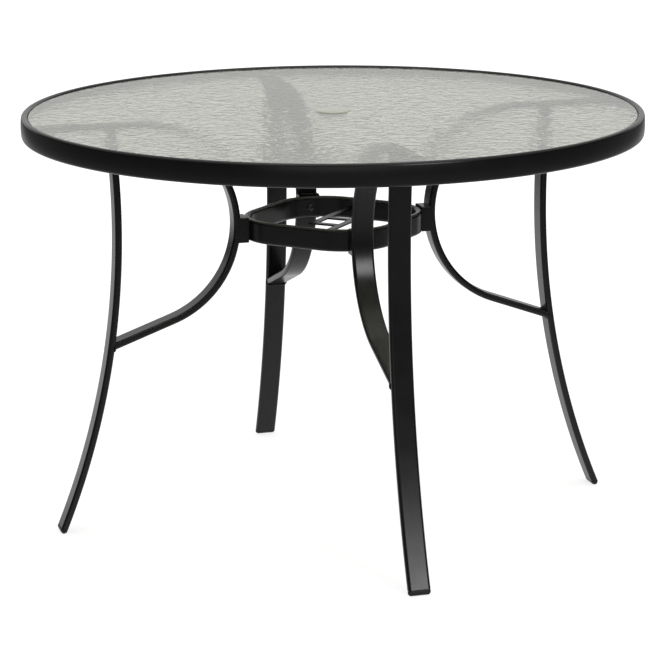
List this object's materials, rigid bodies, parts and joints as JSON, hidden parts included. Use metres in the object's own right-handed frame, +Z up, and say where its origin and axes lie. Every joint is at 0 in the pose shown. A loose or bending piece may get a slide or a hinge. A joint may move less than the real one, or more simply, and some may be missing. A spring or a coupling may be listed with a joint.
{
  "type": "umbrella table",
  "caption": "Round patio table with a rippled glass top, bowed flat-tube legs, bent braces, a centre hoop with a pole guide and a lift-out plug over the umbrella hole.",
  "frame": {"origin": "on the floor, under the middle of the glass", "axes": "+Z up; the four legs stand on the +X, +Y, -X and -Y sides"},
  "size_m": [1.0668, 1.0668, 0.7141],
  "materials": {
    "frame_coat": "satin powder coat, near black",
    "wavy_glass": "rippled on the underside, slightly frosted, faint green grey",
    "plug_plastic": "translucent pale plastic",
    "cap_plastic": "black moulded plastic",
    "pad_vinyl": "clear soft vinyl",
    "fastener": "dark zinc, satin"
  },
  "bodies": {
    "frame": {"rim_frame": "frame_coat", "glass_top": "wavy_glass", "centre_hoop": "frame_coat", "guide_bar_1": "frame_coat", "guide_rivet_1": "fastener", "guide_bar_2": "frame_coat", "guide_rivet_2": "fastener", "leg_1": "frame_coat", "brace_1": "frame_coat", "foot_cap_1": "cap_plastic", "hoop_bracket_1": "frame_coat", "hoop_bolt_1": "fastener", "rim_tab_1": "frame_coat", "tab_bolt_1": "fastener", "glass_pad_1": "pad_vinyl", "leg_2": "frame_coat", "brace_2": "frame_coat", "foot_cap_2": "cap_plastic", "hoop_bracket_2": "frame_coat", "hoop_bolt_2": "fastener", "rim_tab_2": "frame_coat", "tab_bolt_2": "fastener", "glass_pad_2": "pad_vinyl", "leg_3": "frame_coat", "brace_3": "frame_coat", "foot_cap_3": "cap_plastic", "hoop_bracket_3": "frame_coat", "hoop_bolt_3": "fastener", "rim_tab_3": "frame_coat", "tab_bolt_3": "fastener", "glass_pad_3": "pad_vinyl", "leg_4": "frame_coat", "brace_4": "frame_coat", "foot_cap_4": "cap_plastic", "hoop_bracket_4": "frame_coat", "hoop_bolt_4": "fastener", "rim_tab_4": "frame_coat", "tab_bolt_4": "fastener", "glass_pad_4": "pad_vinyl"},
    "plug": {"hole_plug": "plug_plastic"}
  },
  "joints": [
    {"name": "plug_lift", "type": "slide", "parent": "frame", "child": "plug", "axis": [0, 0, 1], "range_m": [0, 0.06]}
  ]
}
